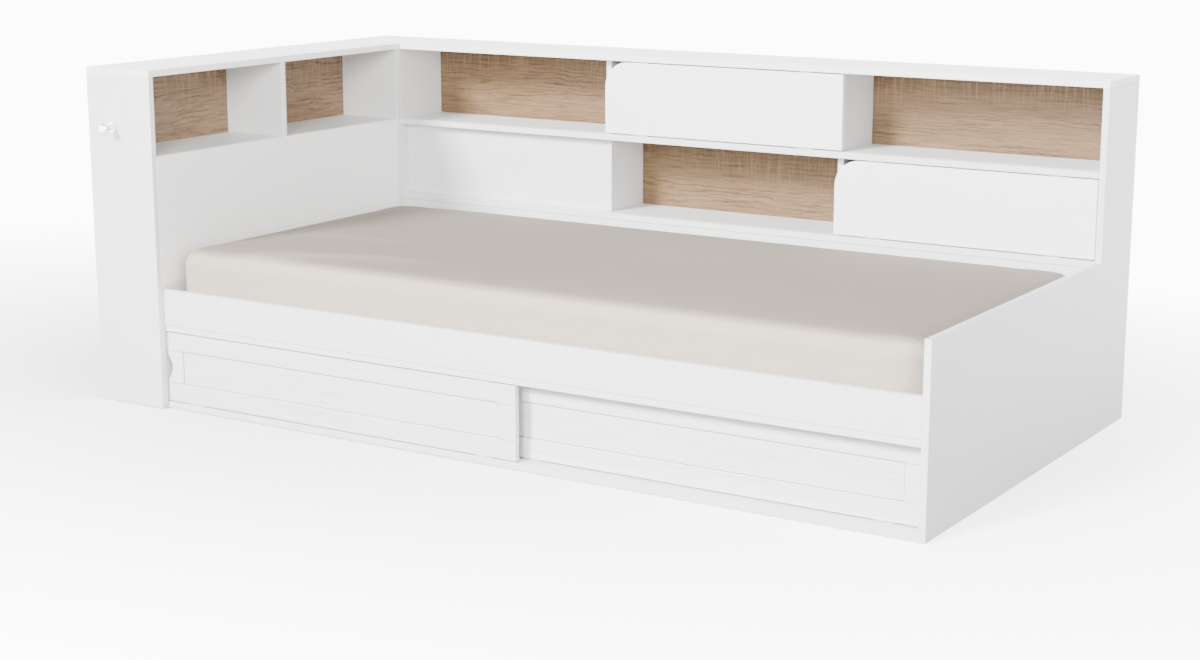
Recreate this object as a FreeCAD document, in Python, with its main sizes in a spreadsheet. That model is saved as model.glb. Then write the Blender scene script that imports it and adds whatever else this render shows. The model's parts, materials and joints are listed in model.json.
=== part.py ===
import FreeCAD, Part
import Sketcher
import math
import os
import re

# Corner storage bed: a single bed with a shelf unit along its back, a shorter shelf unit
# across its head, sliding doors on the back unit and two sliding doors under the mattress.
# Millimetres. X runs along the bed towards the foot, Y from the front rail to the back,
# Z up. The origin is on the floor under the middle of the whole bed.

SIZES = (
    ("bed_length", 2030, "front plane of the head unit to the outer face of the foot panel"),
    ("bed_depth", 962, "front of the rail to the front of the back unit"),
    ("bed_height", 833, "floor to the top boards"),
    ("head_depth", 207, "depth of the head unit"),
    ("shelf_depth", 205, "depth of the back unit"),
    ("foot_height", 414, "low part of the foot panel"),
    ("board", 16, "thickness of the coated boards"),
    ("edge_break", 1, "flat on every board edge"),
    ("backing", 3, "thickness of the oak decor sheets"),
    ("backing_inset", 13, "rear edge of the boards to the back of the decor sheet"),
    ("sheet_edge", 0.3, "flat on the edges of those sheets"),
    ("upper_opening", 192, "middle shelves to the top boards"),
    ("lower_opening", 193, "bottom shelf to the middle shelf"),
    ("headboard_level", 312, "joint between the two panels behind the pillow"),
    ("divider_setback", 28, "shelf front to the front of the dividers"),
    ("lower_panel_setback", 2, "shelf front to the panel under the bottom shelf"),
    ("door_thickness", 16, "sliding doors of the back unit"),
    ("door_setback", 4, "shelf front to the face of those doors"),
    ("door_gap", 3, "gap above, below and beside every sliding door"),
    ("upper_door_overlap", 4.7, "upper door past both ends of its compartment"),
    ("lower_door_overlap", 12.3, "lower door past the end of its compartment"),
    ("door_corner_radius", 65, "rounded finger corner of those doors"),
    ("groove_depth", 5, "guide grooves in shelves and track boards"),
    ("glide_width", 4, "fin of a door glide"),
    ("glide_length", 40, "length of a door glide"),
    ("glide_inset", 20, "rounded corner or stile of a door to its glide"),
    ("glide_clearance", 0.3, "glide to its groove"),
    ("rail_level", 210, "underside of the front rail"),
    ("rail_height", 88, "front rail"),
    ("track_setback", 2, "rail front to the front of the two track boards"),
    ("track_depth", 74, "depth of the two track boards"),
    ("base_door_overlap", 76, "left door in front of the right door"),
    ("base_door_thickness", 12, "doors under the bed"),
    ("base_door_setback", 5, "rail front to the face of the left door"),
    ("base_door_pitch", 38, "face of the left door to the face of the right door"),
    ("stile_width", 50, "frame at the ends of a base door"),
    ("frame_width", 46, "frame along the top and bottom of a base door"),
    ("panel_recess", 4, "recess of the middle field of a base door"),
    ("field_bevel", 3.6, "slope around that field"),
    ("joint_line_width", 1.1, "line where stile, frame and field meet"),
    ("joint_line_depth", 1.4, "depth of that line below the field"),
    ("notch_radius", 34, "finger notch in the end of a base door"),
    ("notch_depth", 16, "depth of that notch"),
    ("notch_blend", 34, "rounding on both sides of that notch"),
    ("batten_width", 30, "battens that carry the slats"),
    ("batten_height", 22, "battens that carry the slats"),
    ("slat_count", 13, "number of slats"),
    ("slat_width", 70, "slat"),
    ("slat_thickness", 14, "slat"),
    ("slat_margin", 30, "end of the bed box to the first slat"),
    ("slat_gap", 2, "slat end to the board beside it"),
    ("slat_edge", 3, "rounding along a slat"),
    ("mattress_end_gap", 7, "mattress to the boards at its head and foot"),
    ("mattress_front_gap", 12, "rail to mattress"),
    ("mattress_rear_gap", 34, "mattress to the front of the back unit"),
    ("mattress_height", 152, "mattress at the start of its crown"),
    ("mattress_crown", 8, "rise of the mattress towards its middle"),
    ("mattress_edge", 46, "rounded long edges of the mattress"),
    ("hook_drop", 143, "top of the head unit to the coat peg"),
    ("hook_offset", 82, "left face of the head unit to the coat peg"),
    ("hook_length", 38, "coat peg"),
    ("hook_base_radius", 13, "rose of the peg"),
    ("hook_base_thickness", 5, "rose of the peg"),
    ("hook_neck_radius", 7, "neck of the peg at its rose"),
    ("hook_head_radius", 12, "head of the peg"),
    ("hook_head_thickness", 9, "head of the peg"),
    ("hook_chamfer", 2.5, "broken rims of the head of the peg"),
)

# The end rounding of the mattress follows the rounding of its long edges.
MATTRESS_END_SHARE = 0.85

TOLERANCE = 1e-6

doc = FreeCAD.newDocument("StorageBed")
sheet = doc.addObject("Spreadsheet::Sheet", "Sizes")
for row, (alias, value, note) in enumerate(SIZES, start=1):
    sheet.set(f"A{row}", note)
    sheet.set(f"B{row}", str(value))
    sheet.setAlias(f"B{row}", alias)
doc.recompute()

subparts = {}


def size(alias):
    return float(sheet.get(alias))


def formula(text):
    """Turn a formula in size names into an expression on the sheet."""
    return re.sub(r"[a-z][a-z_]*", lambda name: "Sizes." + name.group(0), text)


def bind(item, **formulas):
    for path, text in formulas.items():
        item.setExpression(path.replace("__", "."), formula(text))


def bind_place(item, x, y, z):
    bind(item, Placement__Base__x=x, Placement__Base__y=y, Placement__Base__z=z)


def span(limits):
    low, high = limits
    return f"({high}) - ({low})"


def plus(start, step):
    return f"({start}) + ({step})"


def minus(start, step):
    return f"({start}) - ({step})"


# Planes that the boards share, as formulas in the sizes.
HALF_DEPTH = "(hook_length + board + bed_depth + shelf_depth) / 2"
FOOT = "(bed_length + head_depth) / 2"
LEFT = "-(bed_length + head_depth) / 2"
HEAD = minus(FOOT, "bed_length")
FOOT_INNER = minus(FOOT, "board")
BACK = HALF_DEPTH
SHELF_FRONT = minus(BACK, "shelf_depth")
RAIL_FRONT = minus(SHELF_FRONT, "bed_depth")
RAIL_BACK = plus(RAIL_FRONT, "board")
HEAD_FRONT = minus(RAIL_FRONT, "board")
HEAD_REAR = minus(SHELF_FRONT, "board")
BACKING_BACK = minus(BACK, "backing_inset")
BACKING_FRONT = minus(BACKING_BACK, "backing")
DIVIDER_FRONT = plus(SHELF_FRONT, "divider_setback")
LOWER_PANEL = plus(SHELF_FRONT, "lower_panel_setback")
HEAD_BACKING = plus(LEFT, "backing_inset")
HEAD_BACKING_FRONT = plus(HEAD_BACKING, "backing")
HEAD_PANEL = minus(HEAD, "board")
UNDER_TOP = "bed_height - board"
MID_TOP = minus(UNDER_TOP, "upper_opening")
MID_UNDER = minus(MID_TOP, "board")
BOTTOM_TOP = minus(MID_UNDER, "lower_opening")
BOTTOM_UNDER = minus(BOTTOM_TOP, "board")
TRACK_UNDER = "rail_level - board"
SLAT_LEVEL = "rail_level + batten_height"
MATTRESS_LEVEL = "rail_level + batten_height + slat_thickness"
GROOVE_WIDTH = "glide_width + 2 * glide_clearance"
FLOOR = "0"


def keep(item, label):
    item.Label = label
    subparts[label] = item
    return item


def box_edges(shape):
    """Names of the edges along the outer corners of a block."""
    frame = shape.BoundBox
    limits = ((frame.XMin, frame.XMax), (frame.YMin, frame.YMax), (frame.ZMin, frame.ZMax))
    names = []
    for index, edge in enumerate(shape.Edges, start=1):
        reach = edge.BoundBox
        spans = ((reach.XMin, reach.XMax), (reach.YMin, reach.YMax), (reach.ZMin, reach.ZMax))
        sides = 0
        for (low, high), ends in zip(spans, limits):
            flat = math.isclose(low, high, abs_tol=TOLERANCE)
            if flat and any(math.isclose(low, end, abs_tol=TOLERANCE) for end in ends):
                sides += 1
        if sides == len(limits) - 1:
            names.append(f"Edge{index}")
    return names


def face_edges(shape, axis):
    """Names of the edges that lie in the two outer faces square to an axis."""
    low_name, high_name = axis + "Min", axis + "Max"
    outer = (getattr(shape.BoundBox, low_name), getattr(shape.BoundBox, high_name))
    names = []
    for index, edge in enumerate(shape.Edges, start=1):
        low = getattr(edge.BoundBox, low_name)
        high = getattr(edge.BoundBox, high_name)
        flat = math.isclose(low, high, abs_tol=TOLERANCE)
        if flat and any(math.isclose(low, end, abs_tol=TOLERANCE) for end in outer):
            names.append(f"Edge{index}")
    return names


def edges_along(shape, axis, test):
    """Names of the straight edges along an axis whose middle passes a test."""
    names = []
    for index, edge in enumerate(shape.Edges, start=1):
        start, end = edge.Vertexes[0].Point, edge.Vertexes[-1].Point
        run = end - start
        if run.Length > 0 and math.isclose(abs(run.dot(axis)), run.Length, rel_tol=TOLERANCE):
            if test((start + end) / 2):
                names.append(f"Edge{index}")
    return names


def block(body, name, x, y, z):
    """First solid of a body: a blank whose low corner is the body's own origin."""
    blank = body.newObject("PartDesign::AdditiveBox", name)
    bind(blank, Length=span(x), Width=span(y), Height=span(z))
    bind_place(body, x[0], y[0], z[0])
    return blank


def cut_block(body, name, x, y, z):
    """Cut a box out of a body, with its limits given from the body's low corner."""
    cut = body.newObject("PartDesign::SubtractiveBox", name)
    bind(cut, Length=span(x), Width=span(y), Height=span(z))
    bind_place(cut, x[0], y[0], z[0])
    return cut


def dress(body, kind, base, names, **sizes):
    feature = body.newObject(kind, f"{body.Name}_{kind.split('::')[1].lower()}")
    feature.Base = (base, names)
    bind(feature, **sizes)
    body.Tip = feature
    doc.recompute()
    return feature


def board(label, x, y, z, grooves=(), edge="edge_break"):
    """Rectangular board between limits, with guide grooves and broken edges.

    A groove is (faces up, start, end, middle): along X from start to end, about a middle
    line in Y, all as formulas in the shared frame.
    """
    body = doc.addObject("PartDesign::Body", label)
    last = block(body, f"{label}_blank", x, y, z)
    for number, (faces_up, start, end, middle) in enumerate(grooves, start=1):
        along = (minus(start, x[0]), minus(end, x[0]))
        low_side = minus(minus(middle, f"({GROOVE_WIDTH}) / 2"), y[0])
        across = (low_side, plus(low_side, GROOVE_WIDTH))
        floor = minus(span(z), "groove_depth") if faces_up else FLOOR
        deep = (floor, plus(floor, "groove_depth"))
        last = cut_block(body, f"{label}_groove_{number}", along, across, deep)
    doc.recompute()
    dress(body, "PartDesign::Chamfer", last, box_edges(last.Shape), Size=edge)
    return keep(body, label)


# Back unit: side panels, shelves, dividers and decor sheet.

UPPER_GUIDE = plus(SHELF_FRONT, "door_setback + door_thickness / 2")
UPPER_OPENING = (MID_TOP, UNDER_TOP)
LOWER_OPENING = (BOTTOM_TOP, MID_UNDER)
BED_SPAN = (HEAD, FOOT_INNER)
SHELF_SPAN = (SHELF_FRONT, BACKING_FRONT)
COMPARTMENT = "(bed_length - 3 * board) / 3"
RIGHT_DIVIDER = minus(FOOT_INNER, COMPARTMENT)
LEFT_DIVIDER = minus(RIGHT_DIVIDER, f"board + {COMPARTMENT}")


def make_back_unit():
    depth = (SHELF_FRONT, BACK)
    panel_height = (FLOOR, UNDER_TOP)
    down = (False, HEAD, FOOT_INNER, UPPER_GUIDE)
    up = (True, HEAD, FOOT_INNER, UPPER_GUIDE)
    board("back_top_board", (LEFT, FOOT), depth, (UNDER_TOP, "bed_height"), [down])
    board("back_mid_shelf", BED_SPAN, SHELF_SPAN, (MID_UNDER, MID_TOP), [down, up])
    board("back_bottom_shelf", BED_SPAN, SHELF_SPAN, (BOTTOM_UNDER, BOTTOM_TOP), [up])
    board("back_left_side", (HEAD_PANEL, HEAD), depth, panel_height)
    board("corner_side_panel", (LEFT, plus(LEFT, "board")), depth, panel_height)
    lower_panel = (LOWER_PANEL, plus(LOWER_PANEL, "board"))
    board("back_lower_panel", BED_SPAN, lower_panel, (FLOOR, BOTTOM_UNDER))

    sheet_depth = (BACKING_FRONT, BACKING_BACK)
    corner = (plus(LEFT, "board"), HEAD_PANEL)
    board("back_decor_sheet", BED_SPAN, sheet_depth, panel_height, edge="sheet_edge")
    board("corner_back_sheet", corner, sheet_depth, panel_height, edge="sheet_edge")

    divider_depth = (DIVIDER_FRONT, BACKING_FRONT)
    for side, face in (("left", LEFT_DIVIDER), ("right", RIGHT_DIVIDER)):
        across = (minus(face, "board"), face)
        board(f"upper_{side}_divider", across, divider_depth, UPPER_OPENING)
        board(f"lower_{side}_divider", across, divider_depth, LOWER_OPENING)
    infill = (HEAD, minus(LEFT_DIVIDER, "board"))
    infill_depth = (DIVIDER_FRONT, plus(DIVIDER_FRONT, "board"))
    board("corner_infill_panel", infill, infill_depth, LOWER_OPENING)


def make_foot_panel():
    """Stepped panel: low beside the mattress, high at the end of the back unit."""
    body = doc.addObject("PartDesign::Body", "foot_panel")
    sketch = body.newObject("Sketcher::SketchObject", "foot_panel_outline")
    planes = {plane.Role: plane for plane in body.Origin.OriginFeatures}
    sketch.AttachmentSupport = [(planes["YZ_Plane"], "")]
    sketch.MapMode = "FlatFace"
    depth = size("bed_depth") + size("shelf_depth")
    step = size("bed_depth")
    low = size("foot_height")
    high = size("bed_height") - size("board")
    corners = [(0, 0), (depth, 0), (depth, high), (step, high), (step, low), (0, low)]
    points = [FreeCAD.Vector(u, v, 0) for u, v in corners]
    for start, end in zip(points, points[1:] + points[:1]):
        line = sketch.addGeometry(Part.LineSegment(start, end))
        level = math.isclose(start.y, end.y)
        sketch.addConstraint(Sketcher.Constraint("Horizontal" if level else "Vertical", line))
    count = len(points)
    for line in range(count):
        sketch.addConstraint(Sketcher.Constraint("Coincident", line, 2, (line + 1) % count, 1))
    sketch.addConstraint(Sketcher.Constraint("Coincident", 0, 1, -1, 1))
    measures = (
        ("DistanceX", 0, 1, 2, depth, "bed_depth + shelf_depth"),
        ("DistanceY", 1, 1, 2, high, "bed_height - board"),
        ("DistanceX", 2, 2, 1, depth - step, "shelf_depth"),
        ("DistanceY", 5, 2, 1, low, "foot_height"),
    )
    for kind, line, first, second, value, text in measures:
        index = sketch.addConstraint(Sketcher.Constraint(kind, line, first, line, second, value))
        sketch.setExpression(f"Constraints[{index}]", formula(text))
    pad = body.newObject("PartDesign::Pad", "foot_panel_pad")
    pad.Profile = sketch
    bind(pad, Length="board")
    bind_place(body, FOOT_INNER, RAIL_FRONT, FLOOR)
    doc.recompute()
    dress(body, "PartDesign::Chamfer", pad, face_edges(pad.Shape, "X"), Size="edge_break")
    return keep(body, "foot_panel")


# Head unit across the left end, open above and panelled behind the pillow.

def make_head_unit():
    across = (LEFT, HEAD)
    inside = (RAIL_FRONT, HEAD_REAR)
    panel_height = (FLOOR, UNDER_TOP)
    board("head_front_panel", across, (HEAD_FRONT, RAIL_FRONT), panel_height)
    board("head_rear_panel", across, (HEAD_REAR, SHELF_FRONT), panel_height)
    board("head_top_board", across, (HEAD_FRONT, SHELF_FRONT), (UNDER_TOP, "bed_height"))
    shelf = (HEAD_BACKING_FRONT, HEAD_PANEL)
    board("head_shelf", shelf, inside, (MID_UNDER, MID_TOP))
    front = (HEAD_PANEL, HEAD)
    board("headboard_panel", front, inside, ("headboard_level", MID_TOP))
    board("head_lower_panel", front, inside, (FLOOR, "headboard_level"))
    middle = minus(RAIL_FRONT, f"-({span(inside)}) / 2")
    divider = (minus(middle, "board / 2"), plus(middle, "board / 2"))
    board("head_divider", (HEAD_BACKING_FRONT, HEAD), divider, UPPER_OPENING)
    decor = (HEAD_BACKING, HEAD_BACKING_FRONT)
    board("head_decor_sheet", decor, inside, panel_height, edge="sheet_edge")


def make_coat_peg():
    """Turned peg on the outer face of the head unit, built along its own Z."""
    body = doc.addObject("PartDesign::Body", "coat_peg")
    rose = body.newObject("PartDesign::AdditiveCylinder", "coat_peg_rose")
    bind(rose, Radius="hook_base_radius", Height="hook_base_thickness")
    neck = body.newObject("PartDesign::AdditiveCylinder", "coat_peg_neck")
    bind(neck, Radius="hook_neck_radius", Height="hook_length - hook_head_thickness")
    head = body.newObject("PartDesign::AdditiveCylinder", "coat_peg_head")
    bind(head, Radius="hook_head_radius", Height="hook_head_thickness")
    bind(head, Placement__Base__z="hook_length - hook_head_thickness")
    doc.recompute()
    rims = []
    for index, edge in enumerate(head.Shape.Edges, start=1):
        radius = getattr(edge.Curve, "Radius", 0)
        if math.isclose(radius, size("hook_head_radius")):
            rims.append(f"Edge{index}")
    dress(body, "PartDesign::Chamfer", head, rims, Size="hook_chamfer")
    body.Placement.Rotation = FreeCAD.Rotation(FreeCAD.Vector(1, 0, 0), 90)
    bind_place(body, plus(LEFT, "hook_offset"), HEAD_FRONT, "bed_height - hook_drop")
    return keep(body, "coat_peg")


# Sliding doors of the back unit, each with a rounded corner for the fingers.

def make_glides(label, x, face, thickness, opening, margin):
    """Four plastic fins under and over a door, in the grooves of the boards around it."""
    low, high = opening
    middle = plus(face, f"{thickness} / 2")
    fins = []
    inset = f"{margin} + glide_inset"
    starts = (plus(x[0], inset), minus(x[1], f"{inset} + glide_length"))
    tall = "door_gap + groove_depth - glide_clearance"
    levels = (minus(plus(low, "door_gap"), tall), minus(high, "door_gap"))
    for column, start in enumerate(starts):
        for row, level in enumerate(levels):
            fin = doc.addObject("Part::Box", f"{label}_{column}{row}")
            bind(fin, Length="glide_length", Width="glide_width", Height=tall)
            bind_place(fin, start, minus(middle, "glide_width / 2"), level)
            fins.append(fin)
    group = doc.addObject("Part::Compound", label)
    group.Links = fins
    return keep(group, label)


def make_shelf_door(label, x, opening):
    low, high = opening
    face = plus(SHELF_FRONT, "door_setback")
    y = (face, plus(face, "door_thickness"))
    z = (plus(low, "door_gap"), minus(high, "door_gap"))
    body = doc.addObject("PartDesign::Body", label)
    blank = block(body, f"{label}_blank", x, y, z)
    doc.recompute()
    frame = blank.Shape.BoundBox
    corner = edges_along(
        blank.Shape,
        FreeCAD.Vector(0, 1, 0),
        lambda point: math.isclose(point.x, frame.XMin, abs_tol=TOLERANCE) and point.z > frame.Center.z,
    )
    rounded = dress(body, "PartDesign::Fillet", blank, corner, Radius="door_corner_radius")
    dress(body, "PartDesign::Chamfer", rounded, face_edges(rounded.Shape, "Y"), Size="edge_break")
    keep(body, label)
    glides = f"{label}_glides"
    make_glides(glides, x, face, "door_thickness", opening, "door_corner_radius")


# Base under the mattress: rail, track boards, doors, battens and slats.

BASE_OPENING = ("board", TRACK_UNDER)
BASE_DOOR_WIDTH = "(bed_length - board - 2 * door_gap + base_door_overlap) / 2"


def make_base():
    rail = (RAIL_FRONT, RAIL_BACK)
    track_front = plus(RAIL_FRONT, "track_setback")
    tracks = (track_front, plus(track_front, "track_depth"))
    left_guide = plus(RAIL_FRONT, "base_door_setback + base_door_thickness / 2")
    right_guide = plus(left_guide, "base_door_pitch")
    down = [(False, HEAD, FOOT_INNER, guide) for guide in (left_guide, right_guide)]
    up = [(True, HEAD, FOOT_INNER, guide) for guide in (left_guide, right_guide)]
    board("front_rail", BED_SPAN, rail, ("rail_level", "rail_level + rail_height"))
    board("top_track_board", BED_SPAN, tracks, (TRACK_UNDER, "rail_level"), down)
    board("bottom_track_board", BED_SPAN, tracks, (FLOOR, "board"), up)

    front_batten = (RAIL_BACK, plus(RAIL_BACK, "batten_width"))
    rear_batten = (minus(LOWER_PANEL, "batten_width"), LOWER_PANEL)
    batten_height = ("rail_level", SLAT_LEVEL)
    board("front_batten", BED_SPAN, front_batten, batten_height)
    board("rear_batten", BED_SPAN, rear_batten, batten_height)
    middle = minus(HEAD, "-(bed_length - board) / 2")
    across = (minus(middle, "board / 2"), plus(middle, "board / 2"))
    board("center_partition", across, (tracks[1], rear_batten[0]), (FLOOR, SLAT_LEVEL))

    slat_span = (plus(RAIL_BACK, "slat_gap"), minus(LOWER_PANEL, "slat_gap"))
    slat_height = (SLAT_LEVEL, MATTRESS_LEVEL)
    step = "(bed_length - board - 2 * slat_margin - slat_width) / (slat_count - 1)"
    for number in range(int(size("slat_count"))):
        start = plus(HEAD, f"slat_margin + {number} * {step}")
        name = f"slat_{number + 1:02d}"
        make_slat(name, (start, plus(start, "slat_width")), slat_span, slat_height)


def make_slat(label, x, y, z):
    """Planed slat with its four long edges rounded."""
    body = doc.addObject("PartDesign::Body", label)
    blank = block(body, f"{label}_blank", x, y, z)
    doc.recompute()
    along = edges_along(blank.Shape, FreeCAD.Vector(0, 1, 0), lambda point: True)
    dress(body, "PartDesign::Fillet", blank, along, Radius="slat_edge")
    return keep(body, label)


def front_rim(recess):
    """Names of the edges of a recess that lie in the front face of its body."""
    low = recess.Placement.Base
    high = low + FreeCAD.Vector(recess.Length, 0, recess.Height)
    rim_box = FreeCAD.BoundBox(low, high)
    rim_box.enlarge(TOLERANCE)
    names = []
    for index, edge in enumerate(recess.Shape.Edges, start=1):
        if rim_box.isInside(edge.BoundBox):
            names.append(f"Edge{index}")
    return names


def joint_line(middle):
    """Limits of a line cut into a base door about a middle."""
    return (minus(middle, "joint_line_width / 2"), plus(middle, "joint_line_width / 2"))


def make_base_door(label, x, face, notch_on_left):
    """Framed door: finger notch in its outer end, recessed field, joint lines in the frame."""
    y = (face, plus(face, "base_door_thickness"))
    z = (plus(BASE_OPENING[0], "door_gap"), minus(BASE_OPENING[1], "door_gap"))
    wide = span(x)
    tall = span(z)
    body = doc.addObject("PartDesign::Body", label)
    block(body, f"{label}_blank", x, y, z)

    notch = body.newObject("PartDesign::SubtractiveCylinder", f"{label}_notch")
    notch.Placement.Rotation = FreeCAD.Rotation(FreeCAD.Vector(1, 0, 0), -90)
    bind(notch, Radius="notch_radius", Height="base_door_thickness")
    centre = "notch_depth - notch_radius"
    if not notch_on_left:
        centre = minus(wide, centre)
    bind_place(notch, centre, FLOOR, f"({tall}) / 2")
    doc.recompute()
    frame = notch.Shape.BoundBox
    end = frame.XMin if notch_on_left else frame.XMax

    def beside_notch(point):
        inside = frame.ZMin + size("edge_break") < point.z < frame.ZMax - size("edge_break")
        return inside and math.isclose(point.x, end, abs_tol=TOLERANCE)

    lips = edges_along(notch.Shape, FreeCAD.Vector(0, 1, 0), beside_notch)
    dress(body, "PartDesign::Fillet", notch, lips, Radius="notch_blend")

    field = ("stile_width", minus(wide, "stile_width"))
    levels = ("frame_width", minus(tall, "frame_width"))
    recess = cut_block(body, f"{label}_field", field, (FLOOR, "panel_recess"), levels)
    doc.recompute()
    rim = front_rim(recess)
    dress(body, "PartDesign::Chamfer", recess, rim, Size="field_bevel")
    deep = (FLOOR, "panel_recess + joint_line_depth")
    for name, level in zip(("low", "high"), levels):
        cut_block(body, f"{label}_{name}_line", (FLOOR, wide), deep, joint_line(level))
    for name, place in zip(("left", "right"), field):
        last = cut_block(body, f"{label}_{name}_line", joint_line(place), deep, levels)
    body.Tip = last
    doc.recompute()
    keep(body, label)
    make_glides(f"{label}_glides", x, face, "base_door_thickness", BASE_OPENING, "stile_width")


def make_mattress():
    """Crowned section along the bed, with rounded long edges and rounded ends."""
    gaps = size("mattress_front_gap") + size("mattress_rear_gap")
    half = (size("bed_depth") - size("board") - gaps) / 2
    rise = size("mattress_crown")
    edge = size("mattress_edge")
    top = size("mattress_height")
    crown_radius = (half * half + rise * rise) / (2 * rise)
    crown_centre = top + rise - crown_radius
    shoulder_y = half - edge
    shoulder_z = crown_centre + math.sqrt((crown_radius - edge) ** 2 - shoulder_y**2)
    lean = math.atan2(shoulder_y, shoulder_z - crown_centre)

    def at(y, z):
        return FreeCAD.Vector(0, y, z)

    def around(y, z, radius, angle):
        return at(y + radius * math.sin(angle), z + radius * math.cos(angle))

    quarter = math.pi / 2
    crown_start = around(shoulder_y, shoulder_z, edge, lean)
    crown_end = around(-shoulder_y, shoulder_z, edge, -lean)
    turn = (quarter + lean) / 2
    low = 3 * quarter / 2
    edges = [
        Part.LineSegment(at(-shoulder_y, 0), at(shoulder_y, 0)),
        Part.Arc(at(shoulder_y, 0), around(shoulder_y, edge, edge, low), at(half, edge)),
        Part.LineSegment(at(half, edge), at(half, shoulder_z)),
        Part.Arc(at(half, shoulder_z), around(shoulder_y, shoulder_z, edge, turn), crown_start),
        Part.Arc(crown_start, at(0, top + rise), crown_end),
        Part.Arc(crown_end, around(-shoulder_y, shoulder_z, edge, -turn), at(-half, shoulder_z)),
        Part.LineSegment(at(-half, shoulder_z), at(-half, edge)),
        Part.Arc(at(-half, edge), around(-shoulder_y, edge, edge, -low), at(-shoulder_y, 0)),
    ]
    outline = Part.Wire([curve.toShape() for curve in edges])
    length = size("bed_length") - size("board") - 2 * size("mattress_end_gap")
    solid = Part.Face(outline).extrude(FreeCAD.Vector(length, 0, 0))
    ends = [solid.getElement(name) for name in face_edges(solid, "X")]
    item = doc.addObject("Part::Feature", "mattress")
    item.Shape = solid.makeFillet(edge * MATTRESS_END_SHARE, ends)
    middle = f"(({RAIL_BACK}) + mattress_front_gap + ({SHELF_FRONT}) - mattress_rear_gap) / 2"
    bind_place(item, plus(HEAD, "mattress_end_gap"), middle, MATTRESS_LEVEL)
    return keep(item, "mattress")


def write_parts():
    doc.recompute()
    for item in doc.Objects:
        if "Invalid" in item.State or "Error" in item.State:
            raise RuntimeError(f"{item.Name} did not compute: {item.State}")
    for label, item in subparts.items():
        shape = item.Shape
        if shape.isNull() or not shape.isValid() or not shape.Solids:
            raise RuntimeError(f"{label} has no valid solid")
    os.makedirs("parts", exist_ok=True)
    for label, item in subparts.items():
        item.Shape.exportStep(f"parts/{label}.step")


make_back_unit()
make_foot_panel()
make_head_unit()
make_coat_peg()
upper_end = plus(RIGHT_DIVIDER, "upper_door_overlap")
upper_start = minus(LEFT_DIVIDER, "upper_door_overlap")
make_shelf_door("upper_sliding_door", (upper_start, upper_end), UPPER_OPENING)
door_start = plus(HEAD, "door_gap")
door_end = minus(FOOT_INNER, "door_gap")
lower_start = minus(RIGHT_DIVIDER, "lower_door_overlap")
make_shelf_door("lower_sliding_door", (lower_start, door_end), LOWER_OPENING)
make_base()
left_face = plus(RAIL_FRONT, "base_door_setback")
right_face = plus(left_face, "base_door_pitch")
make_base_door("left_base_door", (door_start, plus(door_start, BASE_DOOR_WIDTH)), left_face, True)
make_base_door("right_base_door", (minus(door_end, BASE_DOOR_WIDTH), door_end), right_face, False)
make_mattress()
write_parts()

whole = Part.makeCompound([item.Shape for item in subparts.values()])
print(len(subparts), "sub-parts,", len(whole.Solids), "solids, box", whole.BoundBox)
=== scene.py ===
import json
import math
from collections import namedtuple

import bmesh
import bpy
import numpy as np
from mathutils import Matrix, Vector


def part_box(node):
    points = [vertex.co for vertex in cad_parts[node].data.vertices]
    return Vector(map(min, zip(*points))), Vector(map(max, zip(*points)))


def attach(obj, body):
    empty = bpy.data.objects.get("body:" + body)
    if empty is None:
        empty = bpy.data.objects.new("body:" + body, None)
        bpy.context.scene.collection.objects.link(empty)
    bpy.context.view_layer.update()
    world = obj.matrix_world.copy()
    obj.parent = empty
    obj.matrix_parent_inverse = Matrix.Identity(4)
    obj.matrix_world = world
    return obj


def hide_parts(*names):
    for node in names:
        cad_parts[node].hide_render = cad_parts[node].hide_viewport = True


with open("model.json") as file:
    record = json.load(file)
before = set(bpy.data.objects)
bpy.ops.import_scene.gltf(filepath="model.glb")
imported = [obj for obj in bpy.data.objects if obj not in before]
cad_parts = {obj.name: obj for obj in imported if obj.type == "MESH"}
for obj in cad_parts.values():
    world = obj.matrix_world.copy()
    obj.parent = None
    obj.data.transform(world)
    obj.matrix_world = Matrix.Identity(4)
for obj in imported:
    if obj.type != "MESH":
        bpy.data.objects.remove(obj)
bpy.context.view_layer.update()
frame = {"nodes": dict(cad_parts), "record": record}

# Corner storage bed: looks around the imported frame, in metres, +X to the foot, +Y to the back.

# Camera of the photograph: angles in degrees, lens and sensor in millimetres.
CAMERA_PLACE = (2.7148, -4.2676, 1.3016)
CAMERA_YAW = -32.42
CAMERA_PITCH = -12.28
CAMERA_LENS = 63.4
SENSOR_WIDTH = 36
RIGHT_ANGLE = 90

# Studio light: white surroundings, a key sun from the front left, a softbox from the front right and
# a wide fill sun from the foot end. Spreads are in degrees.
PURE_WHITE = (1, 1, 1, 1)
WORLD_STRENGTH = 0.95
SUN_TARGET = (0, 0, 0)
KEY_PLACE = (-1.5, -4.2, 2.6)
KEY_STRENGTH = 11
KEY_SPREAD = 15
FILL_PLACE = (4, -1.6, 1.3)
FILL_STRENGTH = 1.8
FILL_SPREAD = 50
SOFTBOX_PLACE = (0.65, -3.1, 1.6)
SOFTBOX_TARGET = (-0.4, 0, 0.45)
SOFTBOX_WIDTH = 0.9
SOFTBOX_POWER = 160

# Floor with a round backdrop wall, which glow more with the distance from the bed.
FLOOR_REACH = 90
BACKDROP_REACH = 60
BACKDROP_HEIGHT = 28
BACKDROP_SIDES = 96
GLOW_SCALE = (0.55, 0.8, 1)
GLOW_SHIFT = (0.3, 0, 0)
GLOW_START = 0.4
GLOW_END = 1.9
GLOW_STRENGTH = 9
FLOOR_ROUGHNESS = 0.85
# The bed stands on thin felt, so the floor lies a little below it.
FELT_HEIGHT = 0.0015

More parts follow.
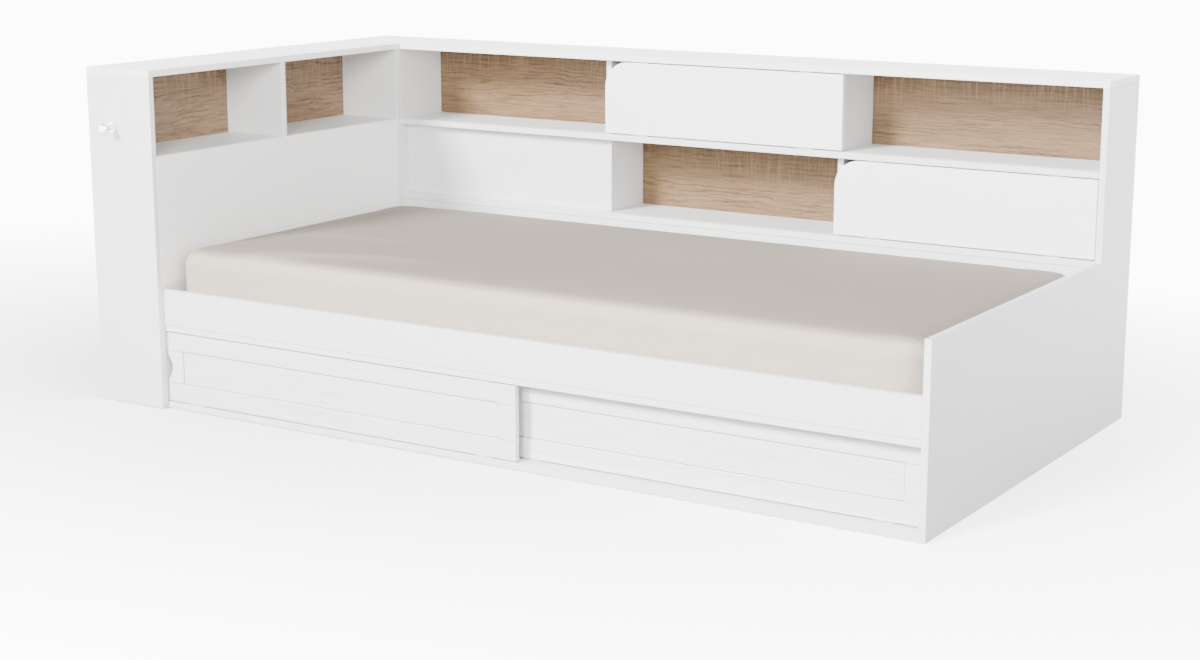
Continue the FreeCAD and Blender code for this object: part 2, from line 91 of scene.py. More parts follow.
# Colours, linear.
WHITE = (0.74, 0.74, 0.735)
# Brighter white: on the shelf doors, and as painted light on the top boards and the headboard.
BRIGHT_WHITE_AND_PAINTED_LIGHT = (0.9, 0.9, 0.89)
OAK_PALE = (0.25, 0.168, 0.097)
OAK_LIGHT = (0.2, 0.128, 0.066)
OAK_MIDDLE = (0.145, 0.088, 0.042)
OAK_DARK = (0.052, 0.029, 0.013)
# Shares of the decor's colour by the axis of its grain, partly tone and partly painted light and shade:
# X in the back unit is a little warmer and painted darker, Y in the head unit, which lies in shade, is a
# little greyer and painted lighter, and Z in the corner keeps its colour.
OAK_PAINTED_LIGHT_SHARES = {"X": (0.9, 0.86, 0.83), "Y": (1.28, 1.31, 1.5), "Z": (1, 1, 1)}
# Painted shade in the joint grooves of the base doors.
GROOVE_PAINTED_SHADE = (0.06, 0.06, 0.06)
PINE_LIGHT = (0.60, 0.40, 0.21)
PINE_DARK = (0.40, 0.22, 0.09)
SHEET_COLOUR = (0.43, 0.366, 0.305)
TICKING_COLOUR = (0.70, 0.70, 0.69)
NYLON_COLOUR = (0.70, 0.70, 0.68)
PEG_COLOUR = (0.72, 0.72, 0.73)
FLOOR_COLOUR = (0.93, 0.93, 0.93)

# Shares of a colour in the dim and bright patches of its surface.
WHITE_DIM_SHARE = 0.965
EMBOSS_DIM_SHARE = 0.8
COTTON_DIM_SHARE = 0.9
COTTON_BRIGHT_SHARE = 1.05
NYLON_DIM_SHARE = 0.93
PEG_DIM_SHARE = 0.86
FLOOR_DIM_SHARE = 0.985

# Shares of the patterns in those patches: pores and clouds on white, weave, slubs and clouds on cotton.
WHITE_SHADE_SHARES = (0.6, 0.4)
COTTON_SHADE_SHARES = (0.5, 0.25, 0.25)

# Gloss of the dull materials.
OAK_SPECULAR = 0.3
COTTON_SPECULAR = 0.15

# Cotton: thread widths, how much slower the weave changes along a thread, slubs per metre, sheen, the
# share of the sheet's colour kept on its top, which is painted shade, and the rise of the surface from
# which that painted shade starts and at which it is full.
TICKING_THREAD = 0.0011
SHEET_THREAD = 0.0006
THREAD_LENGTH_SHARE = 0.04
SLUB_RATES = (18, 120, 120)
TICKING_SHEEN = 0.05
SHEET_SHEEN = 0.02
SHEEN_ROUGHNESS = 0.5
SHEET_TOP_PAINTED_SHADE_SHARE = 0.55
PAINTED_SHADE_START = 0.7
PAINTED_SHADE_END = 0.97

# Base doors: how far the embossed grain wanders, depths behind the front between which the joint
# lines lie and get painted shade, and the inset of that painted shade from the ends.
GRAIN_DRIFT = 0.06
PAINTED_SHADE_TOP = 0.0042
PAINTED_SHADE_FLOOR = 0.0058
PAINTED_SHADE_INSET = 0.018

# Oak: angle of the year rings per metre of height, how far slow arcs and quick waves bend them, how
# far the border of the saw marks wavers, and how much of the relief the streaks have.
RING_RATE = 560
ARC_BEND = 70
WAVE_BEND = 12
BAND_WAVER_SHARE = 0.9
STREAK_RELIEF_SHARE = 0.6

# Pine: how far its rings bend, and how much of its grain are rings and fibres.
PINE_RING_BEND = 70
PINE_RING_SHARE = 0.55
PINE_FIBRE_SHARE = 0.45

# Turning marks of the peg per metre, close along its axis.
TURNING_RATES = (60, 2600, 60)


# Material helpers

AXES = {"X": 0, "Y": 1, "Z": 2}

# Values between which most of a noise lies.
NOISE_LOW = 0.3
NOISE_HIGH = 0.7

# Colour sockets of a mix node, which share their names with its other sockets.
MIX_COLOURS = (6, 7)
MIX_RESULT = 2


class Graph:
    """Small helper to write a node tree as formulas."""

    def __init__(self, name):
        self.material = bpy.data.materials.new(name)
        self.material.use_nodes = True
        self.tree = self.material.node_tree
        self.shader = self.tree.nodes["Principled BSDF"]

    def add(self, kind, settings=None, **inputs):
        """New node; settings are its properties, inputs its sockets by name with _ for a space."""
        made = self.tree.nodes.new("ShaderNode" + kind)
        for key, value in (settings or {}).items():
            setattr(made, key, value)
        for key, value in inputs.items():
            self.feed(made.inputs[key.replace("_", " ")], value)
        return made

    def feed(self, socket, value):
        """Link a socket to another one, or set its number, vector or colour."""
        if isinstance(value, bpy.types.NodeSocket):
            self.tree.links.new(value, socket)
        else:
            socket.default_value = value

    def place(self):
        """Where a point lies on the object, in metres."""
        return self.add("TexCoord").outputs["Object"]

    def parts(self, vector):
        """The X, Y and Z of a vector."""
        return self.add("SeparateXYZ", Vector=vector).outputs

    def scaled(self, source, rates):
        return self.add("Mapping", Vector=source, Scale=rates).outputs["Vector"]

    def noise(self, source, rate, detail=2, roughness=0.5):
        made = self.add("TexNoise", Vector=source, Scale=rate, Detail=detail, Roughness=roughness)
        return made.outputs["Fac"]

    def stretched(self, source, rates, detail=2, roughness=0.5):
        """Noise with its own rate along each axis."""
        return self.noise(self.scaled(source, rates), 1, detail, roughness)

    def grain(self, source, along, slow, fast, detail=2, roughness=0.5):
        """Noise that changes slowly along one axis."""
        return self.stretched(source, grain_rates(along, slow, fast), detail, roughness)

    def math(self, operation, first, second=0.0):
        made = self.add("Math", {"operation": operation})
        self.feed(made.inputs[0], first)
        self.feed(made.inputs[1], second)
        return made.outputs["Value"]

    def weighted(self, values, weights):
        """Sum of values, each times its weight."""
        total, *others = [self.math("MULTIPLY", *pair) for pair in zip(values, weights)]
        for term in others:
            total = self.math("ADD", total, term)
        return total

    def moved(self, source, shift):
        made = self.add("VectorMath", {"operation": "ADD"})
        self.feed(made.inputs[0], source)
        self.feed(made.inputs[1], shift)
        return made.outputs["Vector"]

    def remap(self, value, low, high, to_low, to_high):
        """Value carried from one range to another and held at its ends."""
        made = self.add("MapRange", Value=value, From_Min=low, From_Max=high)
        self.feed(made.inputs["To Min"], to_low)
        self.feed(made.inputs["To Max"], to_high)
        return made.outputs["Result"]

    def ramp(self, value, start, end, top=1):
        """0 at the start of a range, and the top at its end."""
        return self.remap(value, start, end, 0, top)

    def spread(self, noise, least, most):
        """Noise spread over a range of values."""
        return self.remap(noise, NOISE_LOW, NOISE_HIGH, least, most)

    def between(self, value, low, high):
        """1 where a value lies between two limits, 0 elsewhere."""
        above = self.math("GREATER_THAN", value, low)
        below = self.math("LESS_THAN", value, high)
        return self.math("MULTIPLY", above, below)

    def mix(self, factor, first, second):
        """The first colour where the factor is 0, the second where it is 1."""
        made = self.add("Mix", {"data_type": "RGBA"}, Factor=factor)
        for index, colour in zip(MIX_COLOURS, (first, second)):
            linked = isinstance(colour, bpy.types.NodeSocket)
            self.feed(made.inputs[index], colour if linked else (*colour, 1))
        return made.outputs[MIX_RESULT]

    def bump(self, height, depth, strength, under=None):
        """Normals of a relief, laid over those of another one."""
        made = self.add("Bump", Height=height, Distance=depth, Strength=strength)
        if under is not None:
            self.feed(made.inputs["Normal"], under)
        return made.outputs["Normal"]

    def finish(self, **inputs):
        """The material, with these sockets of its shader filled."""
        for key, value in inputs.items():
            self.feed(self.shader.inputs[key.replace("_", " ")], value)
        return self.material


def grain_rates(along, slow, fast):
    """Rates of a texture that is stretched along one axis."""
    rates = [fast, fast, fast]
    rates[AXES[along]] = slow
    return rates


def toned(colour, share):
    """Colour with a share of its brightness."""
    return tuple(share * value for value in colour)


# Materials

def make_white_board(along, name="white_board", white=WHITE):
    """Matt white coated chipboard with a faint pore emboss along the board."""
    graph = Graph(f"{name}_{along.lower()}")
    place = graph.place()
    pores = graph.grain(place, along, slow=5, fast=210, detail=5, roughness=0.6)
    cloud = graph.noise(place, rate=2.3)
    peel = graph.noise(place, rate=850)
    shade = graph.weighted((pores, cloud), WHITE_SHADE_SHARES)
    colour = graph.mix(graph.spread(shade, least=0, most=1), toned(white, WHITE_DIM_SHARE), white)
    fine = graph.bump(peel, depth=0.00006, strength=0.35)
    normal = graph.bump(pores, depth=0.00016, strength=0.5, under=fine)
    roughness = graph.spread(pores, least=0.36, most=0.5)
    return graph.finish(Base_Color=colour, Roughness=roughness, Normal=normal)


def make_white_grain(along, door):
    """White coating of a base door, embossed with a long wood grain, with painted shade in its joint
    lines.
    """
    graph = Graph(f"{door}_{along.lower()}")
    place = graph.place()
    drift = graph.math("MULTIPLY", graph.grain(place, along, slow=1.3, fast=9), GRAIN_DRIFT)
    bent = graph.moved(place, graph.add("CombineXYZ", Z=drift).outputs["Vector"])
    fibre = graph.grain(bent, along, slow=3.2, fast=190, detail=5, roughness=0.62)
    pores = graph.grain(bent, along, slow=14, fast=520, detail=3, roughness=0.55)
    long_cuts = graph.ramp(fibre, start=0.5, end=0.66)
    short_cuts = graph.remap(pores, low=0.4, high=0.62, to_low=0.25, to_high=1)
    cuts = graph.math("MULTIPLY", long_cuts, short_cuts)
    colour = graph.mix(cuts, WHITE, toned(WHITE, EMBOSS_DIM_SHARE))
    low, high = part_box(door)
    parts = graph.parts(place)
    # Painted shade: the joint grooves between these depths are coloured near black.
    deep = graph.between(parts["Y"], low.y + PAINTED_SHADE_TOP, low.y + PAINTED_SHADE_FLOOR)
    inner = graph.between(parts["X"], low.x + PAINTED_SHADE_INSET, high.x - PAINTED_SHADE_INSET)
    colour = graph.mix(graph.math("MULTIPLY", deep, inner), colour, GROOVE_PAINTED_SHADE)
    normal = graph.bump(graph.math("SUBTRACT", 1.0, cuts), depth=0.0005, strength=0.7)
    roughness = graph.spread(fibre, least=0.38, most=0.52)
    return graph.finish(Base_Color=colour, Roughness=roughness, Normal=normal)


def saw_bands(graph, place, along):
    """1 in the lower part of each shelf opening, 0 at its top, with a wavering border."""
    upper_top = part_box("back_top_board")[0].z
    lower_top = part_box("back_mid_shelf")[0].z
    depth = graph.math("SUBTRACT", upper_top, graph.parts(place)["Z"])
    fall = graph.math("FRACT", graph.math("DIVIDE", depth, upper_top - lower_top))
    waver = graph.math("MULTIPLY", graph.grain(place, along, slow=2.4, fast=5), BAND_WAVER_SHARE)
    return graph.ramp(graph.math("ADD", fall, waver), start=0.98, end=0.6)


def make_oak(along):
    """Sawn oak decor: wavy year rings along the sheet, dark pores, and saw marks across it in bands."""
    graph = Graph(f"oak_decor_{along.lower()}")
    place = graph.place()
    # Painted light and shade: the head unit's copy of the decor is lightened, the back unit's darkened.
    painted_light = OAK_PAINTED_LIGHT_SHARES[along]
    tones = (OAK_PALE, OAK_LIGHT, OAK_MIDDLE, OAK_DARK)
    pale_oak, light_oak, oak, dark_oak = (tuple(map(math.prod, zip(tone, painted_light))) for tone in tones)

    arcs = graph.grain(place, along, slow=1.2, fast=4)
    waves = graph.grain(place, along, slow=14, fast=40, detail=4, roughness=0.6)
    height = graph.parts(place)["Z"]
    phase = graph.weighted((height, arcs, waves), (RING_RATE, ARC_BEND, WAVE_BEND))
    rings = graph.ramp(graph.math("SINE", phase), start=0.45, end=1)
    strength = graph.grain(place, along, slow=5, fast=38, detail=3, roughness=0.6)
    rings = graph.math("MULTIPLY", rings, graph.ramp(strength, start=0.42, end=0.64, top=0.85))
    streak = graph.grain(place, along, slow=7, fast=330, detail=6, roughness=0.66)
    broad = graph.grain(place, along, slow=0.9, fast=13, detail=3)
    pores = graph.grain(place, along, slow=30, fast=650)
    flakes = graph.grain(place, along, slow=11, fast=170, detail=3, roughness=0.55)
    saw = graph.grain(place, along, slow=190, fast=12, roughness=0.6)
    bands = saw_bands(graph, place, along)
    marks = graph.math("MULTIPLY", graph.ramp(saw, start=0.5, end=0.62, top=0.16), bands)
    pale = graph.math("MULTIPLY", graph.ramp(saw, start=0.5, end=0.38, top=0.5), bands)

    tone = graph.mix(graph.ramp(streak, start=0.36, end=0.64), light_oak, oak)
    tone = graph.mix(rings, tone, dark_oak)
    tone = graph.mix(graph.ramp(broad, start=0.45, end=0.7, top=0.3), tone, dark_oak)
    tone = graph.mix(graph.ramp(pores, start=0.57, end=0.68, top=0.5), tone, dark_oak)
    tone = graph.mix(graph.ramp(flakes, start=0.54, end=0.66, top=0.5), tone, dark_oak)
    tone = graph.mix(marks, tone, dark_oak)
    tone = graph.mix(pale, tone, pale_oak)
    relief = graph.math("SUBTRACT", graph.math("MULTIPLY", streak, STREAK_RELIEF_SHARE), marks)
    normal = graph.bump(relief, depth=0.0003, strength=0.6)
    roughness = graph.spread(streak, least=0.5, most=0.66)
    graph.finish(Specular_IOR_Level=OAK_SPECULAR)
    return graph.finish(Base_Color=tone, Roughness=roughness, Normal=normal)


def make_pine(along):
    """Planed pine with soft growth rings and small knots."""
    graph = Graph(f"slat_pine_{along.lower()}")
    place = graph.place()
    drift = graph.grain(place, along, slow=1.2, fast=9, detail=3)
    rings = graph.math("SINE", graph.math("MULTIPLY", drift, PINE_RING_BEND))
    rings = graph.ramp(rings, start=-1, end=1, top=PINE_RING_SHARE)
    fibre = graph.grain(place, along, slow=6, fast=330, detail=4, roughness=0.6)
    grain = graph.math("ADD", rings, graph.math("MULTIPLY", fibre, PINE_FIBRE_SHARE))
    tone = graph.mix(graph.ramp(grain, start=0.25, end=0.85), PINE_LIGHT, PINE_DARK)
    cells = graph.scaled(place, grain_rates(along, slow=3.5, fast=9))
    knots = graph.add("TexVoronoi", Vector=cells, Scale=1).outputs["Distance"]
    spots = graph.remap(knots, low=0.06, high=0.14, to_low=0.75, to_high=0)
    tone = graph.mix(spots, tone, PINE_DARK)
    normal = graph.bump(fibre, depth=0.00018, strength=0.5)
    roughness = graph.spread(fibre, least=0.55, most=0.72)
    return graph.finish(Base_Color=tone, Roughness=roughness, Normal=normal)


def make_woven(name, colour, thread, sheen, painted_top_share=1.0):
    """Plain cotton weave: crossed threads, slubs and a soft sheen, with painted shade where it faces up.
    """
    graph = Graph(name)
    place = graph.place()
    across = 1 / thread
    along = THREAD_LENGTH_SHARE * across
    warp = graph.stretched(place, (across, along, along))
    weft = graph.stretched(place, (along, across, across))
    weave = graph.math("MULTIPLY", graph.math("ADD", warp, weft), 0.5)
    slub = graph.stretched(place, SLUB_RATES, detail=4, roughness=0.6)
    cloud = graph.noise(place, rate=3.1, detail=3)
    shade = graph.weighted((weave, slub, cloud), COTTON_SHADE_SHARES)
    light = graph.ramp(shade, start=0.35, end=0.65)
    dim = toned(colour, COTTON_DIM_SHARE)
    bright = toned(colour, COTTON_BRIGHT_SHARE)
    # Painted shade: where the cloth faces up, its colour is darkened by the top share so its top looks
    # shaded.
    side = graph.mix(light, dim, bright)
    top = graph.mix(light, toned(dim, painted_top_share), toned(bright, painted_top_share))
    rise = graph.parts(graph.add("TexCoord").outputs["Normal"])["Z"]
    tone = graph.mix(graph.ramp(rise, PAINTED_SHADE_START, PAINTED_SHADE_END), side, top)
    soft = graph.bump(slub, depth=0.0004, strength=0.3)
    normal = graph.bump(weave, depth=0.0003, strength=0.5, under=soft)
    roughness = graph.spread(weave, least=0.8, most=0.94)
    graph.finish(Specular_IOR_Level=COTTON_SPECULAR, Sheen_Weight=sheen, Sheen_Roughness=SHEEN_ROUGHNESS)
    return graph.finish(Base_Color=tone, Roughness=roughness, Normal=normal)


def make_nylon():
    """Moulded nylon with a fine spark-eroded grain."""
    graph = Graph("glide_nylon")
    place = graph.place()
    grain = graph.noise(place, rate=1400, detail=3)
    cloud = graph.noise(place, rate=40)
    tone = graph.mix(cloud, toned(NYLON_COLOUR, NYLON_DIM_SHARE), NYLON_COLOUR)
    normal = graph.bump(grain, depth=0.00008, strength=0.5)
    roughness = graph.spread(grain, least=0.4, most=0.55)
    return graph.finish(Base_Color=tone, Roughness=roughness, Normal=normal)


def make_peg_metal():
    """Satin turned aluminium: fine rings round the peg's axis."""
    graph = Graph("peg_metal")
    place = graph.place()
    turned = graph.stretched(place, TURNING_RATES, detail=3, roughness=0.6)
    wear = graph.noise(place, rate=120, detail=3)
    tone = graph.mix(graph.ramp(wear, start=0.35, end=0.7), toned(PEG_COLOUR, PEG_DIM_SHARE), PEG_COLOUR)
    normal = graph.bump(turned, depth=0.00006, strength=0.5)
    roughness = graph.spread(turned, least=0.26, most=0.42)
    return graph.finish(Base_Color=tone, Roughness=roughness, Normal=normal, Metallic=1.0)


def make_floor_material():
    """Pale matt studio floor that turns into a lit backdrop far from the bed."""
    graph = Graph("studio_floor")
    place = graph.place()
    cloud = graph.noise(place, rate=0.7)
    tone = graph.mix(cloud, toned(FLOOR_COLOUR, FLOOR_DIM_SHARE), FLOOR_COLOUR)
    rings = graph.add("Mapping", Vector=place, Scale=GLOW_SCALE, Location=GLOW_SHIFT).outputs["Vector"]
    away = graph.add("VectorMath", {"operation": "LENGTH"}, Vector=rings).outputs["Value"]
    glow = graph.ramp(away, GLOW_START, GLOW_END, GLOW_STRENGTH)
    graph.finish(Emission_Color=PURE_WHITE, Emission_Strength=glow)
    return graph.finish(Base_Color=tone, Roughness=FLOOR_ROUGHNESS)


def dress(piece, material):
    """Give all of a piece one material."""
    piece.data.materials.clear()
    piece.data.materials.append(material)
    for face in piece.data.polygons:
        face.material_index = 0


def longest_axis(node):
    low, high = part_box(node)
    spans = high - low
    return max(AXES, key=lambda axis: spans[AXES[axis]])


def make_own_finishes():
    """Materials of the nodes that don't look like the rest of their slot."""
    shelf_door = make_white_board("X", "white_door", BRIGHT_WHITE_AND_PAINTED_LIGHT)
    # Painted light: the top boards and the headboard get the brighter white, so they look lit.
    back_painted_light = make_white_board("X", "white_top_painted_light", BRIGHT_WHITE_AND_PAINTED_LIGHT)
    head_painted_light = make_white_board("Y", "white_top_painted_light", BRIGHT_WHITE_AND_PAINTED_LIGHT)
    finishes = {"upper_sliding_door": shelf_door, "lower_sliding_door": shelf_door}
    finishes.update(back_top_board=back_painted_light, head_top_board=head_painted_light, headboard_panel=head_painted_light)
    for door in ("left_base_door", "right_base_door"):
        finishes[door] = make_white_grain("X", door)
    return finishes


def dress_frame(nodes):
    """Give every CAD node its material, with the grain along its longest side."""
    slots = {row["node"]: row["material_slot"] for row in frame["record"]["subparts"]}
    makers = {"white_board": make_white_board, "oak_decor": make_oak, "slat_pine": make_pine}
    plain = {"glide_nylon": make_nylon(), "peg_metal": make_peg_metal()}
    finishes = make_own_finishes()
    grained = {}
    for name, piece in nodes.items():
        slot = slots[name]
        if name in finishes:
            dress(piece, finishes[name])
        elif slot in plain:
            dress(piece, plain[slot])
        elif slot in makers:
            along = longest_axis(name)
            if (slot, along) not in grained:
                grained[slot, along] = makers[slot](along)
            dress(piece, grained[slot, along])


# Mattress in its fitted sheet

# Block: radius of its edges, radius of its upright corners, and the spacing of its points.
MATTRESS_RADIUS = 0.04
CORNER_RADIUS = 0.065
GRID_STEP = 0.024
ARC_STEPS = 4
# Fall of its top towards the rim, kept near the ends and the sides by the powers, and at the head end.
CROWN = 0.008
CROWN_END_POWER = 6
CROWN_SIDE_POWER = 4
HEAD_SAG = 0.006
HEAD_SAG_REACH = 0.35
# Cloth run: the farthest that a point may move, the pressure and the frames.
SWELL_CAP = 0.003
SWELL_PRESSURE = 4
SWELL_FRAMES = 20
# Sheet: distance from the mattress, reach under it with a wavy edge, and the rise of a face below.
SHEET_LIFT = 0.0016
SHEET_TUCK = 0.13
SHEET_LEVELS = 1
TUCK_WAVE = 0.006
TUCK_WAVE_LENGTH = 0.055
UNDERSIDE_RISE = -0.9

# Creases of the sheet: knots (x, y) on the mattress top, height, reach to the front and to the back.
Crease = namedtuple("Crease", "knots height front back")
CREASES = (
    Crease(((-0.80, -0.48), (-0.52, -0.44), (-0.36, -0.39), (-0.10, -0.35)),
           height=0.009, front=0.03, back=0.008),
    Crease(((-0.79, -0.205), (-0.62, -0.2), (-0.46, -0.192), (-0.34, -0.18)),
           height=0.006, front=0.028, back=0.008),
)
CREASE_FADE_SHARE = 0.35
CREASE_ROOM = 0.035
CREASE_CUTS = 5
QUAD_CORNERS = 4


def axis_places(low, high, radius, step):
    """Places along one axis of a block: even in the middle, closer over its rounded ends."""
    bend = [radius * math.tan(math.pi / 4 * k / ARC_STEPS) for k in range(1, ARC_STEPS + 1)]
    inner_low, inner_high = low + radius, high - radius
    count = max(2, round((inner_high - inner_low) / step))
    middle = np.linspace(inner_low, inner_high, count + 1)
    return [inner_low - b for b in reversed(bend)] + list(middle) + [inner_high + b for b in bend]


def add_piece(name, data):
    piece = bpy.data.objects.new(name, data)
    bpy.context.scene.collection.objects.link(piece)
    return piece


def rounded_block(name, low, high, radius, step):
    """Closed block of quads with rounded edges and corners."""
    places = [axis_places(a, b, radius, step) for a, b in zip(low, high)]
    inner_low = Vector(low) + Vector((radius,) * 3)
    inner_high = Vector(high) - Vector((radius,) * 3)
    mesh = bmesh.new()
    known = {}

    def corner(index):
        if index not in known:
            point = Vector(places[axis][i] for axis, i in enumerate(index))
            core = Vector(min(max(p, a), b) for p, a, b in zip(point, inner_low, inner_high))
            known[index] = mesh.verts.new(core + (point - core).normalized() * radius)
        return known[index]

    for axis in range(3):
        first, second = (axis + 1) % 3, (axis + 2) % 3
        for end, flip in ((0, True), (len(places[axis]) - 1, False)):
            for i in range(len(places[first]) - 1):
                for j in range(len(places[second]) - 1):
                    ring = []
                    for di, dj in ((0, 0), (1, 0), (1, 1), (0, 1)):
                        index = [0, 0, 0]
                        index[axis], index[first], index[second] = end, i + di, j + dj
                        ring.append(corner(tuple(index)))
                    mesh.faces.new(reversed(ring) if flip else ring)
    data = bpy.data.meshes.new(name)
    mesh.to_mesh(data)
    mesh.free()
    data.shade_smooth()
    return add_piece(name, data)


def mesh_points(data):
    points = np.empty(len(data.vertices) * 3)
    data.vertices.foreach_get("co", points)
    return points.reshape(-1, 3)


def write_points(piece, points):
    piece.data.vertices.foreach_set("co", points.ravel())
    piece.data.update()


def crown(piece):
    """Let the top fall a little towards its edges, and a little more at the head end."""
    points = mesh_points(piece.data)
    low, high = points.min(0), points.max(0)
    middle = (low + high) / 2
    share = (points - middle) / (high - middle)
    upper = np.clip(share[:, 2], 0, 1)
    rim = np.maximum(share[:, 0] ** CROWN_END_POWER, share[:, 1] ** CROWN_SIDE_POWER)
    head = np.clip(1 - (points[:, 0] - low[0]) / HEAD_SAG_REACH, 0, 1) ** 2
    points[:, 2] -= upper * (CROWN * rim + HEAD_SAG * head)
    write_points(piece, points)


def round_corners(piece):
    """Widen the upright corners of a rounded block from its edge radius to a larger one."""
    points = mesh_points(piece.data)
    low, high = points.min(0)[:2], points.max(0)[:2]
    middle = (low + high) / 2
    sign = np.sign(points[:, :2] - middle)
    core = (high - low) / 2 - CORNER_RADIUS
    reach = np.abs(points[:, :2] - middle) - core
    inside = (reach > 0).all(1)
    length = np.linalg.norm(reach[inside], axis=1)
    way = reach[inside] / length[:, None]
    centre = CORNER_RADIUS - MATTRESS_RADIUS
    toward = centre * way.sum(1)
    arc = toward + np.sqrt(np.maximum(toward ** 2 - 2 * centre ** 2 + MATTRESS_RADIUS ** 2, 0))
    side = CORNER_RADIUS / way.max(1)
    outline = np.where(side * way.min(1) < centre, side, arc)
    reach[inside] *= (CORNER_RADIUS / outline)[:, None]
    points[:, :2] = middle + sign * (core + reach)
    write_points(piece, points)


def shaped_mesh(piece):
    """New mesh with the piece's modifiers applied."""
    return bpy.data.meshes.new_from_object(piece.evaluated_get(bpy.context.evaluated_depsgraph_get()))


def swell(piece, floor_level):
    """Inflate a block a little with a short cloth run, held where it lies on the slats."""
    start = mesh_points(piece.data)
    held = piece.vertex_groups.new(name="held")
    resting = np.nonzero(start[:, 2] < floor_level + MATTRESS_RADIUS)[0]
    held.add(resting.tolist(), 1.0, "REPLACE")
    modifier = piece.modifiers.new("swell", "CLOTH")
    settings = modifier.settings
    settings.vertex_group_mass = held.name
    settings.use_pressure = True
    settings.uniform_pressure_force = SWELL_PRESSURE
    settings.effector_weights.gravity = 0
    modifier.collision_settings.use_collision = False
    scene = bpy.context.scene
    for step in range(1, SWELL_FRAMES + 1):
        scene.frame_set(step)
    swollen = shaped_mesh(piece)
    move = mesh_points(swollen) - start
    bpy.data.meshes.remove(swollen)
    piece.modifiers.remove(modifier)
    scene.frame_set(1)
    length = np.linalg.norm(move, axis=1, keepdims=True)
    write_points(piece, start + move * np.minimum(1, SWELL_CAP / np.maximum(length, SWELL_CAP)))
    piece.vertex_groups.clear()


def smoothed(piece, levels):
    """Copy of the piece's mesh, divided and smoothed."""
    modifier = piece.modifiers.new("smooth", "SUBSURF")
    modifier.levels = levels
    modifier.render_levels = levels
    mesh = shaped_mesh(piece)
    piece.modifiers.remove(modifier)
    mesh.shade_smooth()
    return mesh


def make_mattress():
    """Crowned, rounded mattress that leaves room for its swelling and for the sheet."""
    low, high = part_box("mattress")
    side_room = SWELL_CAP + SHEET_LIFT
    low_corner = low + Vector((side_room, side_room, SHEET_LIFT))
    high_corner = high - Vector((side_room, side_room, side_room))
    mattress = rounded_block("mattress_core", low_corner, high_corner, MATTRESS_RADIUS, GRID_STEP)
    round_corners(mattress)
    crown(mattress)
    swell(mattress, low_corner.z)
    dress(mattress, make_woven("mattress_ticking", TICKING_COLOUR, TICKING_THREAD, TICKING_SHEEN))
    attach(mattress, "frame")
    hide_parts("mattress")
    return mattress


def crease_offset(points, crease):
    """How far points lie behind a crease's path."""
    knots = np.array(crease.knots)
    return points[:, 1] - np.interp(points[:, 0], knots[:, 0], knots[:, 1])


def crease_height(points, crease):
    """Soft fold along a path, slow in front, steep behind, and fading out towards its ends."""
    start, end = crease.knots[0][0], crease.knots[-1][0]
    off = crease_offset(points, crease)
    reach = np.where(off < 0, crease.front, crease.back)
    along = (points[:, 0] - start) / (end - start)
    fade = np.clip(np.minimum(along, 1 - along) / CREASE_FADE_SHARE, 0, 1)
    fade = fade * fade * (3 - 2 * fade)
    return crease.height * fade * np.exp(-((off / reach) ** 2))


def refine_creases(mesh, top_level):
    """Divide the faces along the creases, so that the folds come out crisp."""
    points = np.array([tuple(face.calc_center_median()) for face in mesh.faces])
    near = np.zeros(len(points), bool)
    for crease in CREASES:
        inside = (points[:, 0] > crease.knots[0][0]) & (points[:, 0] < crease.knots[-1][0])
        close = abs(crease_offset(points, crease)) < CREASE_ROOM
        near |= inside & close & (points[:, 2] > top_level)
    edges = {edge for face, close in zip(mesh.faces, near) if close for edge in face.edges}
    bmesh.ops.subdivide_edges(mesh, edges=list(edges), cuts=CREASE_CUTS, use_grid_fill=True)
    bmesh.ops.poke(mesh, faces=[face for face in mesh.faces if len(face.verts) > QUAD_CORNERS])


def make_fitted_sheet(mattress):
    """Cotton sheet stretched over the mattress and tucked under its edges.

    It is cut as a rectangle less a square at each corner; rounded edges need a little less cloth.
    """
    data = smoothed(mattress, SHEET_LEVELS)
    sheet = add_piece("fitted_sheet", data)
    core = mesh_points(mattress.data)
    low, high = Vector(core.min(0)), Vector(core.max(0))
    top_level = high.z - MATTRESS_RADIUS
    mesh = bmesh.new()
    mesh.from_mesh(data)

    def under(face):
        middle = face.calc_center_median()
        wave = TUCK_WAVE * math.sin(math.tau * (middle.x + middle.y) / TUCK_WAVE_LENGTH)
        tuck = SHEET_TUCK + wave
        inside_x = low.x + tuck < middle.x < high.x - tuck
        inside_y = low.y + tuck < middle.y < high.y - tuck
        return face.normal.z < UNDERSIDE_RISE and inside_x and inside_y

    bmesh.ops.delete(mesh, geom=[face for face in mesh.faces if under(face)], context="FACES")
    refine_creases(mesh, top_level)
    mesh.normal_update()
    for vertex in mesh.verts:
        vertex.co += vertex.normal * SHEET_LIFT
    mesh.to_mesh(data)
    mesh.free()
    points = mesh_points(data)
    on_top = points[:, 2] > top_level
    for crease in CREASES:
        points[:, 2] += on_top * crease_height(points, crease)
    write_points(sheet, points)
    data.shade_smooth()
    dress(sheet, make_woven("sheet_cotton", SHEET_COLOUR, SHEET_THREAD, SHEET_SHEEN, SHEET_TOP_PAINTED_SHADE_SHARE))
    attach(sheet, "frame")


# Stage

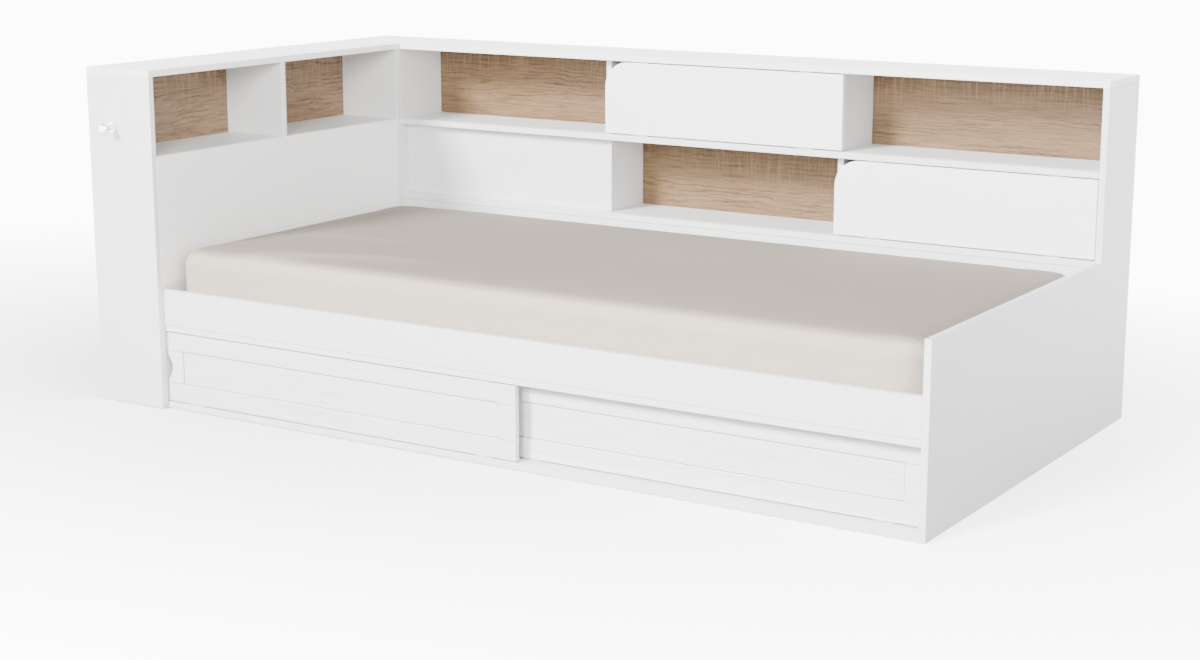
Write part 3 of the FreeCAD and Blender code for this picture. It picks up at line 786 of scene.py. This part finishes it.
def make_floor():
    """Floor and backdrop in one, seen and mirrored only: they neither light the boards nor shade them."""
    mesh = bmesh.new()
    bmesh.ops.create_grid(mesh, x_segments=1, y_segments=1, size=FLOOR_REACH)
    bmesh.ops.create_cone(mesh, cap_ends=False, segments=BACKDROP_SIDES, radius1=BACKDROP_REACH,
                          radius2=BACKDROP_REACH, depth=BACKDROP_HEIGHT,
                          matrix=Matrix.Translation((0, 0, BACKDROP_HEIGHT / 2)))
    data = bpy.data.meshes.new("studio_floor")
    mesh.to_mesh(data)
    mesh.free()
    floor = add_piece("studio_floor", data)
    floor.location.z = -FELT_HEIGHT
    floor.visible_diffuse = False
    floor.visible_shadow = False
    dress(floor, make_floor_material())


def add_lamp(name, kind, strength, place, target):
    """Lamp that shines from a place towards a target and that no camera sees."""
    lamp = bpy.data.lights.new(name, kind)
    lamp.energy = strength
    piece = add_piece(name, lamp)
    piece.location = place
    piece.rotation_euler = (Vector(target) - Vector(place)).to_track_quat("-Z", "Y").to_euler()
    piece.visible_camera = False
    return lamp


def make_lights():
    world = bpy.data.worlds.new("studio")
    world.use_nodes = True
    background = world.node_tree.nodes["Background"]
    background.inputs["Color"].default_value = PURE_WHITE
    background.inputs["Strength"].default_value = WORLD_STRENGTH
    bpy.context.scene.world = world
    key = add_lamp("key_sun", "SUN", KEY_STRENGTH, KEY_PLACE, SUN_TARGET)
    key.angle = math.radians(KEY_SPREAD)
    fill = add_lamp("fill_sun", "SUN", FILL_STRENGTH, FILL_PLACE, SUN_TARGET)
    fill.angle = math.radians(FILL_SPREAD)
    softbox = add_lamp("softbox", "AREA", SOFTBOX_POWER, SOFTBOX_PLACE, SOFTBOX_TARGET)
    softbox.size = SOFTBOX_WIDTH


def make_camera():
    """Camera of the photograph; one turned up by a right angle would look level."""
    lens = bpy.data.cameras.new("camera")
    lens.lens = CAMERA_LENS
    lens.sensor_width = SENSOR_WIDTH
    camera = add_piece("camera", lens)
    camera.location = CAMERA_PLACE
    tilt = math.radians(RIGHT_ANGLE + CAMERA_PITCH)
    camera.rotation_euler = (tilt, 0, math.radians(-CAMERA_YAW))
    bpy.context.scene.camera = camera


make_camera()
make_lights()
make_floor()
dress_frame(frame["nodes"])
mattress_core = make_mattress()
make_fitted_sheet(mattress_core)
